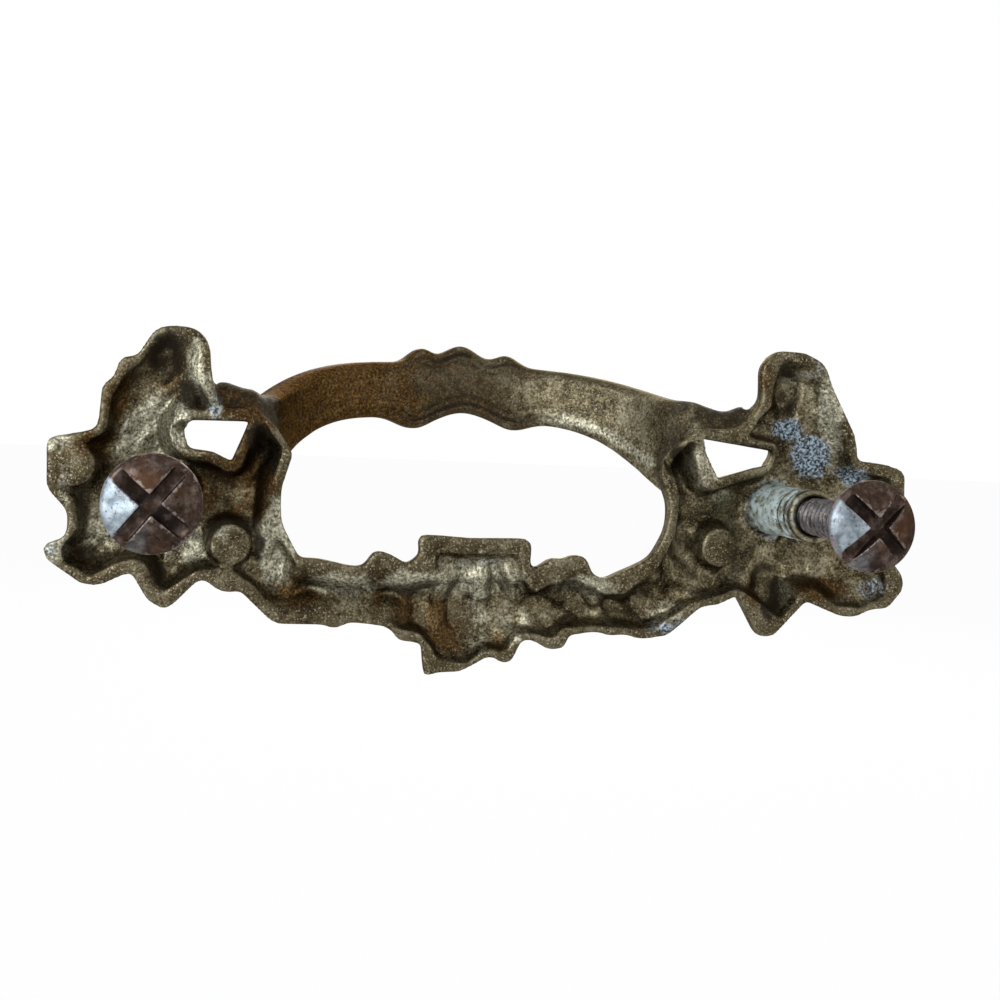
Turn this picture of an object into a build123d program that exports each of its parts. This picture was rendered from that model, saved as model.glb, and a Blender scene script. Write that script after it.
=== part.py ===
from build123d import *
import math
import os

os.makedirs("parts", exist_ok=True)

# Ornate cast drawer pull with its two truss head screws, in mm.
# Installed the right way up: X is the width, +Z is up and the handle stands out to -Y.
# The flat back rim lies in the plane Y = 0 and the origin is midway between the screws.
# Driving dimensions of the whole pull
plate_width = 97.05
plate_height = 37.87
handle_reach = 21.4
hole_centres = 69.85

# Plate
edge_depth = 1.9
lobe_depth = 3.9
lobe_radius = 10.5
band_depth = 1.6
band_width = 6.5
band_height = -11.0
band_reach = 24.0
root_swell = 2.2
root_radius = 4.0
root_height = 5.4
cavity_wall = 1.2
frame_width = 1.05
shoulder_drop = 1.0
shoulder_depth = 3.2
shoulder_crest = 0.8
window_draft = 25.0
window_taper = 5.0

# Screw posts and locating pips
post_diameter = 5.75
post_height = 5.85
post_foot_diameter = 8.0
post_foot_height = 1.2
post_seat = 0.36
pip_diameter = 4.3

# Handle: an elliptical arch, its section wider than thick and flared at the roots
arch_span = 48.0
arch_centre = 1.2
arch_root = 2.5
handle_thickness = 4.4
root_thickness = 3.2
handle_top = 16.05
handle_bottom = 9.0
left_root_drop = 5.5
right_root_drop = 2.8
root_flare = 8.0
section_round = 0.75
# Each leaf along the handle's edges is its centre, height and half width
TOP_LEAVES = [(0.4, 2.45, 3.2), (5.7, 1.7, 1.8), (-5.6, 1.4, 1.9)]
BOTTOM_LEAVES = [(-0.3, 0.9, 3.0), (6.3, -1.3, 2.6), (-6.7, -1.0, 2.4)]

# Screws
shank_diameter = 4.17
shank_clearance = 0.2
shank_depth = 3.0
head_diameter = 9.2
head_seat = 16.2
head_height = 1.8
head_edge = 0.5
slot_width = 1.3
slot_length = 8.0
slot_floor = 0.35
left_slot_angle = 51.0
right_slot_angle = 46.0

# How finely the forms are drawn, and how far the front's blank runs past the plate
smallest_arc = 0.9
slab_margin = 2.5
slab_rows = 9
leaf_angle = 22.0
leaf_stations = 12
root_stations = 6

# The outlines are drawn for this width and height, and stretch with the pull's own
DRAWN_WIDTH = 97.05
DRAWN_HEIGHT = 37.87
stretch = plate_width / DRAWN_WIDTH
rise = plate_height / DRAWN_HEIGHT
deepest = edge_depth + lobe_depth
post_place = hole_centres / 2
arch_middle = arch_centre * stretch
half_span = arch_span / 2 * stretch
arch_rise = handle_reach - arch_root - handle_thickness / 2

# Each outline corner is x, z and the radius that rounds it, 0 for a sharp one
PLATE_OUTLINE = [
    # left ear and the leaf scallops below it
    (30.7, 12.2, 0.6), (31.3, 17.6, 3.2), (36.7, 17.6, 2.4), (38.6, 14.3, 0), (40.3, 14.0, 0.7),
    (41.0, 11.8, 0), (42.1, 11.0, 0.9), (42.4, 6.3, 1.2),
    # left end
    (47.5, 5.2, 0.7), (47.3, 0.0, 1.8), (45.0, -2.4, 1.5), (45.0, -5.1, 0.8), (47.6, -6.0, 0.6),
    (46.9, -7.5, 0), (43.2, -10.0, 0.8), (41.4, -10.1, 1.5), (38.3, -8.6, 0),
    (36.4, -11.6, 1.5), (34.6, -12.5, 0), (33.7, -11.9, 0.8), (30.9, -9.0, 1.0),
    # lower edge of the band, left to right as the back is seen
    (29.2, -10.3, 0.8), (27.8, -10.6, 0.6), (26.9, -10.3, 0), (23.0, -13.8, 2.0),
    (18.0, -13.8, 1.0), (16.4, -14.2, 0.8), (14.9, -13.5, 1.0), (11.4, -13.8, 1.5),
    (10.2, -14.4, 0.6), (9.5, -15.4, 0.7), (7.0, -15.6, 0), (6.8, -17.6, 1.0),
    (6.5, -19.4, 0), (5.4, -18.9, 0.8), (2.6, -18.7, 1.5), (-0.8, -16.9, 0.6),
    (-2.2, -17.8, 0.8), (-3.2, -17.5, 0.7), (-4.3, -15.1, 0), (-5.6, -15.2, 1.0),
    (-7.4, -16.2, 0.8), (-9.2, -16.0, 0.6), (-9.6, -14.5, 0), (-12.7, -14.1, 1.0),
    (-14.4, -14.5, 1.0), (-15.9, -14.3, 1.0), (-18.0, -14.8, 1.2), (-21.0, -14.4, 2.0),
    (-25.0, -11.1, 0.7), (-26.9, -10.8, 1.0),
    # right end
    (-29.3, -9.7, 0), (-31.8, -14.3, 0.6), (-33.6, -14.3, 1.0), (-37.6, -10.2, 0),
    (-42.0, -11.9, 2.0), (-43.6, -11.9, 1.0), (-45.6, -11.0, 1.0), (-47.6, -10.9, 1.5),
    (-49.6, -8.6, 1.2), (-49.5, -7.0, 0.8), (-48.4, -5.7, 0), (-47.3, -4.2, 1.0),
    (-47.3, -1.8, 1.5), (-49.4, 0.8, 1.5), (-49.3, 5.2, 1.0), (-46.8, 5.9, 1.5),
    (-43.4, 6.2, 0), (-43.0, 9.0, 3.0), (-40.0, 14.5, 2.5), (-39.0, 17.2, 2.0),
    (-36.5, 18.4, 2.0), (-32.6, 18.5, 2.6), (-31.1, 16.4, 1.5), (-31.3, 12.6, 0.8),
    # arc under the right root of the handle, then the finger opening
    (-30.0, 10.2, 0.8), (-28.5, 9.3, 1.5), (-23.6, 8.9, 1.5), (-21.2, 6.8, 3.0),
    (-19.3, 4.0, 1.5), (-20.7, 0.6, 5.0), (-20.6, -2.4, 5.0), (-18.8, -5.7, 3.0),
    (-13.9, -8.1, 1.2), (-12.2, -7.8, 1.2), (-11.3, -5.7, 0.8), (-9.9, -5.5, 1.0),
    (-8.6, -6.1, 1.0), (-7.4, -5.9, 0.6), (-5.6, -7.2, 0.8), (-4.9, -6.9, 0),
    (-5.1, -3.9, 0.8), (2.0, -4.0, 2.0), (7.9, -3.7, 0.6), (7.6, -6.0, 0),
    (8.9, -7.0, 0), (11.0, -5.9, 1.0), (12.5, -5.5, 0.8), (13.7, -7.4, 0.6),
    (15.0, -7.4, 1.0), (18.5, -6.7, 2.0), (20.6, -6.6, 0), (22.7, -3.0, 4.0),
    (22.9, 0.5, 5.0), (21.7, 4.5, 0.8), (23.7, 7.4, 3.0), (26.2, 9.0, 2.0), (29.8, 9.1, 1.0),
]

CAVITY_OUTLINE = [
    # left lobe
    (32.2, 16.6, 1.5), (36.2, 16.5, 1.2), (37.9, 13.9, 0.8), (39.9, 11.9, 0.8), (41.1, 9.8, 1.2),
    (41.5, 6.0, 1.2), (43.3, 4.9, 1.0), (46.4, 4.6, 1.2), (46.3, 0.6, 0.8), (44.2, -1.3, 1.2),
    (44.1, -4.4, 1.0), (45.5, -6.2, 0), (45.3, -7.6, 0), (42.3, -9.1, 0.8),
    (39.6, -7.5, 1.2), (37.2, -7.1, 0.8), (35.0, -10.8, 0), (31.4, -8.1, 1.2),
    # lower side of the band
    (27.8, -8.2, 1.5), (25.6, -9.5, 1.5), (23.0, -12.6, 2.0), (15.4, -12.9, 2.0),
    (11.8, -13.1, 1.5), (9.4, -14.1, 1.0), (7.2, -14.4, 1.0), (6.0, -15.8, 1.0),
    (5.2, -17.5, 0.8), (2.0, -17.7, 0.8), (-0.5, -16.1, 1.0), (-2.4, -16.6, 0.7),
    (-3.6, -14.3, 0.8), (-5.6, -14.3, 1.0), (-7.9, -15.0, 0.6), (-8.9, -13.6, 0.6),
    (-13.0, -13.4, 2.0), (-19.4, -13.6, 1.0), (-23.5, -10.8, 2.0), (-27.5, -9.5, 1.5),
    # right lobe
    (-29.3, -8.8, 0.8), (-34.6, -12.4, 0), (-35.2, -11.4, 0), (-37.6, -8.9, 0.8),
    (-38.7, -9.0, 1.0), (-41.2, -10.7, 1.5), (-44.6, -10.8, 1.5), (-47.4, -9.4, 0.8),
    (-47.3, -7.2, 0.8), (-45.8, -4.6, 1.0), (-45.9, -1.6, 1.5), (-48.0, 1.2, 1.0),
    (-47.9, 4.3, 0.8), (-42.8, 4.9, 0.8), (-41.6, 9.3, 2.0), (-38.6, 15.0, 2.0),
    (-37.3, 17.3, 1.2), (-33.6, 17.3, 1.5), (-32.7, 14.5, 1.5), (-32.5, 11.9, 1.0),
    (-31.0, 10.4, 1.0), (-30.2, 8.9, 0.6), (-24.4, 8.0, 0.8), (-22.6, 7.4, 1.0),
    (-20.9, 4.9, 0.8),
    # upper side of the band
    (-22.0, 0.8, 3.0), (-21.6, -3.2, 2.0), (-19.6, -6.8, 1.5), (-17.4, -8.2, 0.8),
    (-16.0, -9.8, 0.6), (-13.0, -9.7, 1.0), (-10.8, -7.0, 0.8), (-9.0, -7.3, 0.8),
    (-5.6, -9.9, 0), (-4.8, -9.2, 0), (-3.4, -5.6, 0), (5.9, -5.6, 0),
    (5.9, -8.1, 0), (9.5, -8.1, 0.8), (11.4, -7.2, 0), (13.5, -8.3, 0.8),
    (17.5, -8.2, 1.0), (20.6, -7.8, 0.8), (23.6, -3.5, 3.0), (23.8, 1.5, 4.0),
    (22.9, 4.8, 0.6), (25.0, 7.7, 1.2), (27.4, 8.2, 0.8), (29.8, 8.4, 0.8),
    (31.6, 10.6, 1.0), (32.2, 12.5, 1.0),
]

LEFT_WINDOW = [
    (33.3, 7.6, 0.6), (26.7, 7.7, 0), (28.3, 3.5, 0), (30.2, 4.4, 0.8), (32.6, 4.7, 0.7),
]
RIGHT_WINDOW = [
    (-24.5, 7.9, 0), (-32.6, 6.8, 0), (-32.1, 5.3, 0), (-30.4, 4.9, 1.0), (-26.7, 3.6, 0),
]

# Webs that join the handle's roots to the ears, a little below the rim
LEFT_SHOULDER = [
    (31.6, 12.4, 0), (30.2, 12.3, 0), (28.6, 11.8, 0.8), (27.2, 11.2, 0), (24.6, 12.2, 0.6),
    (22.6, 8.0, 0.6), (24.5, 6.6, 0), (30.5, 8.6, 0),
]
RIGHT_SHOULDER = [
    (-31.9, 13.0, 0), (-30.2, 12.4, 0.8), (-28.6, 11.2, 1.2), (-27.2, 11.3, 0.8),
    (-24.4, 12.2, 0.6), (-22.0, 8.4, 0.6), (-24.0, 6.8, 0), (-30.5, 8.6, 0),
]

PIP_CENTRES = [(28.0, -5.4), (-26.9, -4.3), (44.5, 2.4)]


def rounded_loop(corners):
    """Close a wire in the X-Z plane through the corners, each turned by an arc of its radius.

    An arc smaller than smallest_arc becomes two short lines through its middle.
    """
    points = [Vector(x * stretch, 0, z * rise) for x, z, _ in corners]
    count = len(points)
    starts, ends, middles = [], [], []
    for i, (_, _, radius) in enumerate(corners):
        here, before, after = points[i], points[i - 1], points[(i + 1) % count]
        back, ahead = (before - here), (after - here)
        half_angle = math.radians(back.get_angle(ahead)) / 2
        room = 0.48 * min(back.length, ahead.length)
        reach = min(radius / math.tan(half_angle), room)
        bend = reach * math.tan(half_angle)
        inward = (back.normalized() + ahead.normalized()).normalized()
        starts.append(here + back.normalized() * reach)
        ends.append(here + ahead.normalized() * reach)
        middles.append(here + inward * (bend / math.sin(half_angle) - bend))
    edges = []
    for i in range(count):
        if corners[i][2] >= smallest_arc:
            edges.append(Edge.make_three_point_arc(starts[i], middles[i], ends[i]))
        elif corners[i][2]:
            edges.append(Edge.make_line(starts[i], middles[i]))
            edges.append(Edge.make_line(middles[i], ends[i]))
        edges.append(Edge.make_line(ends[i], starts[(i + 1) % count]))
    return Wire(edges)


def one_solid(result):
    """Give back the largest solid of a boolean's result."""
    solids = result if isinstance(result, ShapeList) else result.solids()
    return max(solids, key=lambda solid: solid.volume)


def prism(wire, back, front):
    """Extrude a wire of the X-Z plane from Y = back to Y = front."""
    low, high = min(back, front), max(back, front)
    face = Face(wire).moved(Location((0, low, 0)))
    return Solid.extrude(face, Vector(0, high - low, 0))


def swelling(x, z, centre, height, radius):
    """Height at x, z of a round swelling that is 1 high at its centre."""
    return math.exp(-((x - centre) ** 2 + (z - height) ** 2) / radius**2)


def front_depth(x, z):
    """Depth of the front: domes before the screws and the handle's roots, and a swollen band."""
    depth = edge_depth
    for side in (1, -1):
        root = arch_middle + side * half_span
        depth += lobe_depth * swelling(x, z, side * post_place, 0, lobe_radius)
        depth += root_swell * swelling(x, z, root, root_height * rise, root_radius)
    along = math.exp(-((x / (band_reach * stretch)) ** 4))
    return depth + band_depth * along * math.exp(-(((z / rise - band_height) / band_width) ** 2))


def slab_places():
    """Places across the pull where the front is drawn: closer together at roots and posts."""
    places = [-plate_width / 2 - slab_margin, 0, plate_width / 2 + slab_margin]
    for side in (1, -1):
        root, post = arch_middle + side * half_span, side * post_place
        places += [root / 3, root * 2 / 3, root - side * root_radius, root, (root + post) / 2]
        places += [post, post + side * lobe_radius / 2, post + side * lobe_radius]
    return sorted(places)


def front_slab(shift):
    """Everything behind the plate's front surface, the surface moved back by shift."""
    back = 2 * deepest
    high = plate_height / 2 + slab_margin
    heights = [high * (2 * j / (slab_rows - 1) - 1) for j in range(slab_rows)]
    sections = []
    for x in slab_places():
        line = [Vector(x, shift - front_depth(x, z), z) for z in heights]
        corners = [line[-1], Vector(x, back, high), Vector(x, back, -high), line[0]]
        sides = [Edge.make_line(p, q) for p, q in zip(corners, corners[1:])]
        sections.append(Wire([Edge.make_spline(line), *sides]))
    return Solid.make_loft(sections, ruled=True)


def leaves(x, places):
    """Sum of the rounded leaves that stand along an edge of the handle at x."""
    return sum(
        height * math.exp(-(((x - centre * stretch) / half_width) ** 2))
        for centre, height, half_width in places
    )


def handle_edges(x):
    """Top and bottom height of the handle at x: a plain bar with flared roots and leaves."""
    share = min(abs(x - arch_middle) / half_span, 1.0)
    root_drop = left_root_drop if x > arch_middle else right_root_drop
    top = handle_top - root_drop * share**4 + leaves(x, TOP_LEAVES)
    bottom = handle_bottom - root_flare * share**5 + leaves(x, BOTTOM_LEAVES)
    return top * rise, bottom * rise


def handle_section(angle):
    """Closed section of the arch at one angle, 0 at the middle and 90 degrees at a root."""
    s, c = math.sin(angle), math.cos(angle)
    x, y = arch_middle + half_span * s, -arch_root - arch_rise * c
    out_x, out_y = arch_rise * s, -half_span * c
    size = math.hypot(out_x, out_y)
    out_x, out_y = out_x / size, out_y / size
    top, bottom = handle_edges(x)
    middle, half_width = (top + bottom) / 2, (top - bottom) / 2
    half_thick = (handle_thickness + (root_thickness - handle_thickness) * s**2) / 2
    radius = section_round * half_thick

    def at(across, outward):
        return Vector(x + out_x * outward, y + out_y * outward, middle + across)

    edges = []
    for side, face in ((1, 1), (-1, 1), (-1, -1), (1, -1)):
        rim, over = side * half_width, side * (half_width - radius)
        low, flat = face * (half_thick - radius), face * half_thick
        lean = radius * (1 - math.sqrt(0.5))
        round_middle = at(rim - side * lean, flat - face * lean)
        ends = [at(rim, low), at(over, flat)]
        if side * face < 0:
            ends.reverse()
        if edges:
            edges.append(Edge.make_line(edges[-1] @ 1, ends[0]))
        edges.append(Edge.make_three_point_arc(ends[0], round_middle, ends[1]))
    edges.append(Edge.make_line(edges[-1] @ 1, edges[0] @ 0))
    return Wire(edges)


def handle():
    """Loft the arch from root to root, its sections closest together along the leaves."""
    leaf_turn = math.radians(leaf_angle)
    roots = [
        leaf_turn + (math.pi / 2 - leaf_turn) * (i + 1) / root_stations for i in range(root_stations)
    ]
    middle = [leaf_turn * (2 * i / leaf_stations - 1) for i in range(leaf_stations + 1)]
    angles = [-angle for angle in reversed(roots)] + middle + roots
    return Solid.make_loft([handle_section(angle) for angle in angles], ruled=True)


def along_y(radius, back, front, x, z):
    """Round bar from Y = back to Y = front at x, z."""
    plane = Plane(origin=(x, back, z), z_dir=(0, 1 if front > back else -1, 0))
    return Solid.make_cylinder(radius, abs(front - back), plane)


def post(x):
    """Screw post on a flared foot, standing from inside the plate's front wall."""
    foot_back = -edge_depth - lobe_depth + cavity_wall
    foot_plane = Plane(origin=(x, foot_back, 0), z_dir=(0, 1, 0))
    foot = Solid.make_cone(
        post_foot_diameter / 2, post_diameter / 2, post_foot_height, foot_plane
    )
    root = along_y(post_diameter / 2, foot_back, foot_back - post_seat, x, 0)
    return one_solid(along_y(post_diameter / 2, foot_back, post_height, x, 0).fuse(foot, root))


def window_prism(corners, margin=0.0):
    """A window's shape, grown by margin, through the whole plate and handle root."""
    return prism(rounded_loop(corners).offset_2d(margin), 2, -3 * deepest)


def window_cutter(corners):
    """A window that is true at the rim plane and opens towards the front, away from the handle."""
    side = math.copysign(1, corners[0][0])
    near = min(side * x for x, _, _ in corners)
    far = max(side * x for x, _, _ in corners)
    low, high = min(z for _, z, _ in corners), max(z for _, z, _ in corners)
    middle, half_height = (low + high) / 2, (high - low) / 2
    wires = []
    for y in (2.0, -deepest - 0.5):
        wider = 1 - y * math.tan(math.radians(window_draft)) / (far - near)
        taller = 1 - y * math.tan(math.radians(window_taper)) / half_height
        spread = [
            (side * (near + (side * x - near) * wider), middle + (z - middle) * taller, radius)
            for x, z, radius in corners
        ]
        wires.append(rounded_loop(spread).moved(Location((0, y, 0))))
    return Solid.make_loft(wires, ruled=True)


def web(corners):
    """Web between an ear and the handle's root, whose back falls into the arch's inner face."""
    side = math.copysign(1, corners[0][0])
    top, bottom = -shoulder_drop, -shoulder_drop - shoulder_depth
    root = half_span + side * arch_middle
    crest, inner = root + shoulder_crest, root - root_thickness / 2
    fall = (arch_root - shoulder_drop) / (crest - inner)
    near, far = inner - root_thickness, plate_width / 2
    plan = [(far, top), (crest, top), (near, top - fall * (crest - near)), (near, -2 * deepest)]
    points = [Vector(side * x, y, -plate_height) for x, y in [*plan, (far, -2 * deepest)]]
    blank = Solid.extrude(Face(Wire.make_polygon(points)), Vector(0, 0, 2 * plate_height))
    return one_solid(blank.intersect(prism(rounded_loop(corners), top, bottom)))


def hollow():
    """The space inside the plate: it leaves the window frames and locating pips standing."""
    space = prism(rounded_loop(CAVITY_OUTLINE), 1, -2 * deepest)
    frames = [window_prism(corners, frame_width) for corners in (LEFT_WINDOW, RIGHT_WINDOW)]
    pips = [
        along_y(pip_diameter / 2, 2, -3 * deepest, x * stretch, z * rise) for x, z in PIP_CENTRES
    ]
    return one_solid(one_solid(space.cut(*frames, *pips)).intersect(front_slab(cavity_wall)))


def pull_casting():
    """The one-piece casting: hollow plate, webs at the roots, handle and bored screw posts."""
    screw_places = (post_place, -post_place)
    blank = prism(rounded_loop(PLATE_OUTLINE), 0, -2 * deepest)
    webs = [web(corners) for corners in (LEFT_SHOULDER, RIGHT_SHOULDER)]
    body = one_solid(one_solid(blank.intersect(front_slab(0))).fuse(*webs, handle()))
    body = one_solid(one_solid(body.cut(hollow())).fuse(*[post(x) for x in screw_places]))
    bore = (shank_diameter + shank_clearance) / 2
    bore_end = -shank_depth - shank_clearance
    bores = [along_y(bore, post_height + 1, bore_end, x, 0) for x in screw_places]
    windows = [window_cutter(corners) for corners in (LEFT_WINDOW, RIGHT_WINDOW)]
    return one_solid(body.cut(*windows, *bores))


def screw(x, slot_angle):
    """Truss head machine screw with a crossed slot, its shank run into the post."""
    shank = along_y(shank_diameter / 2, -shank_depth, head_seat + head_edge / 2, x, 0)
    edge_y, top_y = head_seat + head_edge, head_seat + head_height
    rise, radius = head_height - head_edge, head_diameter / 2
    crown = (radius**2 + rise**2) / (2 * rise)
    half = math.asin(radius / crown) / 2
    over = Vector(x + crown * math.sin(half), top_y - crown * (1 - math.cos(half)), 0)
    profile = Wire([
        Edge.make_line((x, head_seat, 0), (x + radius, head_seat, 0)),
        Edge.make_line((x + radius, head_seat, 0), (x + radius, edge_y, 0)),
        Edge.make_three_point_arc((x + radius, edge_y, 0), over, (x, top_y, 0)),
        Edge.make_line((x, top_y, 0), (x, head_seat, 0)),
    ])
    head = Solid.revolve(Face(profile), 360, Axis((x, 0, 0), (0, 1, 0)))
    whole = shank.fuse(head)
    for turn in (slot_angle, slot_angle + 90):
        cutter = Solid.make_box(slot_length, 2 * head_height, slot_width)
        cutter = cutter.moved(Location((-slot_length / 2, 0, -slot_width / 2)))
        cutter = cutter.moved(Location((0, 0, 0), (0, turn, 0)))
        cutter = cutter.moved(Location((x, head_seat + slot_floor, 0)))
        whole = one_solid(whole.cut(cutter))
    return whole


def main():
    nodes = {
        "pull_casting": pull_casting(),
        "left_screw": screw(post_place, left_slot_angle),
        "right_screw": screw(-post_place, right_slot_angle),
    }
    for name, shape in nodes.items():
        export_step(shape, f"parts/{name}.step")


if __name__ == "__main__":
    main()
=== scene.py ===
import math

import bpy
import numpy as np
from mathutils import Matrix, Vector


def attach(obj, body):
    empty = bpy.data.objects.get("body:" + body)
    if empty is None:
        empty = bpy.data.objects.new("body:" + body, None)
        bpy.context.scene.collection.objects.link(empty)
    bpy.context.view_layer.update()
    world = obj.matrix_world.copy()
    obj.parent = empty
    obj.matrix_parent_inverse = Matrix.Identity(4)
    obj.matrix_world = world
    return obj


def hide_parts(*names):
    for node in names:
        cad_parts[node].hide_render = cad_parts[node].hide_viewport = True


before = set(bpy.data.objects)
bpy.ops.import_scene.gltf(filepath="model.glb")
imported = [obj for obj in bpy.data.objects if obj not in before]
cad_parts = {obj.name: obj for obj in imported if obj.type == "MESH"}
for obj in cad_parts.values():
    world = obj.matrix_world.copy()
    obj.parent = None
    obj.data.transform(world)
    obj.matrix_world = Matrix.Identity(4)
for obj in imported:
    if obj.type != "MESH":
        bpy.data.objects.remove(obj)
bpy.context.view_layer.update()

# Lengths below are in millimetres; meshes are written in metres
MM = 0.001
CASTING_STEP, CASTING_LOW, CASTING_HIGH = 0.304, (-51.0, -22.4, -20.4), (49.0, 6.6, 19.6)
SCREW_STEP, SCREW_HALF_BOX, SCREW_END_ROOM = 0.125, 4.9, 0.5
NEAR_REACH, FAR_REACH = 0.55, 1.6

# Camera, fitted to the photograph: place, turns in radians and the image's point in front of it
CAMERA_PLACE = (26.25, 114.7, 8.05)
CAMERA_PAN, CAMERA_TILT, CAMERA_ROLL = 0.1365, -0.0235, 0.0428
FOCAL_PIXELS, IMAGE_PIXELS, PRINCIPAL_PIXEL = 1064.5, 1000, 400

# Casting
EDGE_DEPTH, LOBE_DEPTH, LOBE_RADIUS = 1.9, 3.9, 10.5
BAND_DEPTH, BAND_HEIGHT, BAND_WIDTH, BAND_REACH = 1.6, -11.0, 6.5, 24.0
ROOT_SWELL, ROOT_RADIUS, ROOT_HEIGHT = 2.2, 4.0, 5.4
FLUTE_DEPTH, FLUTE_PITCH, FAN_RADIUS, FAN_HEIGHT = 0.15, 16.0, 34.0, 24.0
FLOOR_WALL, THINNER_WALL, LEAST_WALL, WALL_LEAN = 0.9, 0.2, 0.55, 0.20
FRAME_WIDTH, FRAME_DROP, FRAME_TOP = 1.05, 0.9, 7.6
SHOULDER_DROP, SHOULDER_FRONT, SHOULDER_CREST = 1.0, 4.2, 0.8
ROOT_FALL, UPPER_FALL, UPPER_FALL_HEIGHT = 0.8, 0.22, 8.6
WINDOW_DRAFT, WINDOW_TAPER, WINDOW_DEPTH = 25.0, 5.0, 6.3
SMALLEST_WINDOW, LARGEST_WINDOW = 8, 60
LEFT_FRAME_LAND, RIGHT_FRAME_LAND = 1.0, 0.3
POST_RADIUS, POST_HEIGHT, POST_ROOT, BORE_RADIUS, BORE_END = 2.875, 5.85, -4.7, 2.2, -3.2
LOWER_RING, UPPER_RING, RING_WIDTH = 2.6, 4.1, 0.2
ARCH_HALF_SPAN, ARCH_CENTRE, ARCH_ROOT, ARCH_RISE = 24.0, 1.2, 2.5, 16.7
ARCH_THICKNESS, ROOT_THICKNESS, ARCH_ROUNDING = 4.4, 3.2, 0.40
ARCH_TOP, ARCH_BOTTOM = 16.0, 9.0
LEFT_ROOT_DROP, RIGHT_ROOT_DROP, ROOT_FLARE = 5.6, 3.8, 8.0
TOP_LEAVES = [(0.4, 2.42, 3.2), (5.7, 1.7, 1.8), (-5.6, 1.4, 1.9)]
BOTTOM_LEAVES = [(-0.3, 0.9, 3.0), (6.3, -1.3, 2.6), (-6.7, -1.0, 2.4)]

# Fillets of the casting
FRONT_FILLET, RIM_FILLET, WEB_FILLET, ARCH_FILLET = 1.3, 0.55, 1.2, 1.6
FLOOR_FILLET, HOLLOW_EDGE, POST_FOOT, POST_EDGE = 1.0, 0.45, 2.0, 0.3
BORE_EDGE, WINDOW_EDGE = 0.18, 0.3

# Creases of the handle: how far in from its edges, width and depth; they deepen towards the crest
OUTER_CREASE, INNER_CREASE = 1.1, 2.0
CREASES = [(OUTER_CREASE, 0.34, 0.55), (INNER_CREASE, 0.30, 0.30)]
CREST_REACH, PLAIN_CREASE, INNER_HOLLOW = 11.0, 0.25, 0.14

# Relief of the hollow's floor
RIDGE_HEIGHT, RIPPLE_HEIGHT, GRIT_HEIGHT = 0.24, 0.26, 0.14
RIB_HEIGHT, RIB_RATE, BAND_LIFT, TOP_LIFT = 0.62, 1.5, 0.8, 0.5

# Hollows that are cast deeper than the rest: x, z, half width, half height and how much deeper
DEEP_POCKETS = [
    (43.4, -6.6, 2.4, 1.5, 0.8), (36.5, -8.6, 1.3, 2.4, 1.0), (-34.6, -9.6, 2.2, 3.0, 1.4),
    (-22.9, -4.0, 1.2, 2.2, 0.9), (24.8, 6.4, 1.5, 1.5, 1.2), (-22.3, 5.8, 1.3, 1.8, 1.3),
    (-35.2, 13.8, 1.5, 3.2, 1.4), (35.6, 14.2, 1.6, 2.4, 0.9), (38.6, 10.0, 1.6, 2.2, 0.4),
    (-16.4, -11.0, 2.4, 1.2, 0.7), (8.6, -11.6, 2.2, 1.6, 0.6), (16.5, -11.4, 3.0, 0.9, 0.5),
]
POCKET_BULGE, POCKET_THINNING = 0.8, 0.3
# Walls of the hollow that lean: x, z, half width, half height and the lean that is added
LEANING_WALLS = [
    (33.6, 12.6, 1.5, 5.0, 0.9), (-39.8, 11.0, 2.2, 6.0, 0.55), (35.0, 6.8, 1.8, 3.0, 0.6),
    (-25.2, 4.4, 1.7, 3.2, 0.6), (44.6, -3.4, 1.0, 2.0, 0.5), (24.3, -3.2, 1.2, 5.2, 1.2),
    (12.5, -8.6, 9.0, 1.6, 1.3), (-12.0, -7.6, 8.0, 1.6, 1.3), (0.5, -6.2, 5.0, 1.6, 0.4),
    (-40.0, -9.0, 5.0, 1.5, 0.4), (-37.0, 16.4, 3.0, 1.4, 0.5), (15.5, -11.8, 8.5, 1.8, 1.1),
]
# Stretches of the windows' frames that lie lower than the rest: x, z, half width and height, share
LOW_FRAMES = [(33.8, 5.6, 2.4, 4.4, 0.6), (29.0, 2.6, 2.6, 1.6, 0.4)]
# Places where the rim dips: x, z, half width, half height and how far
RIM_DIPS = [(-21.4, 5.4, 1.2, 1.6, 2.2), (25.9, 8.4, 1.0, 1.0, 0.5)]

# Patches as they show on the back, put at x, z of the rim's plane: half width, half height, strength;
# the brown and blue ones are stains, the pale ones partly pale metal and partly painted highlight,
# the last ones painted shade
BROWN_STAINS = [
    (26.8, 4.5, 1.4, 3.6, 1.0), (29.0, 1.4, 3.2, 3.4, 0.9), (24.9, 0.4, 1.2, 3.6, 0.7),
    (39.8, 9.5, 2.4, 3.2, 0.8), (41.9, 4.6, 2.6, 1.8, 0.9), (35.5, 13.0, 2.4, 2.6, 0.7),
    (21.0, -10.2, 3.4, 2.0, 0.8), (8.2, -11.9, 2.6, 2.6, 0.9), (4.0, -13.4, 2.6, 3.2, 1.0),
    (-1.4, -15.0, 1.2, 1.8, 0.6), (-16.8, -11.8, 3.0, 1.4, 0.7), (-31.3, -8.9, 1.6, 2.2, 0.8),
    (-39.0, -8.6, 3.6, 1.4, 1.0), (-31.6, 14.5, 1.6, 3.4, 0.5), (28.5, 10.4, 3.6, 2.4, 1.0),
    (35.5, -8.5, 1.6, 2.0, 0.5), (43.0, -6.7, 2.4, 1.4, 0.5), (24.1, 9.0, 2.6, 2.6, 0.8),
    (28.0, -0.9, 3.2, 2.6, 1.0), (23.9, -1.0, 0.9, 3.4, 0.8), (12.0, -10.1, 0.9, 2.4, 0.7),
]
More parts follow.
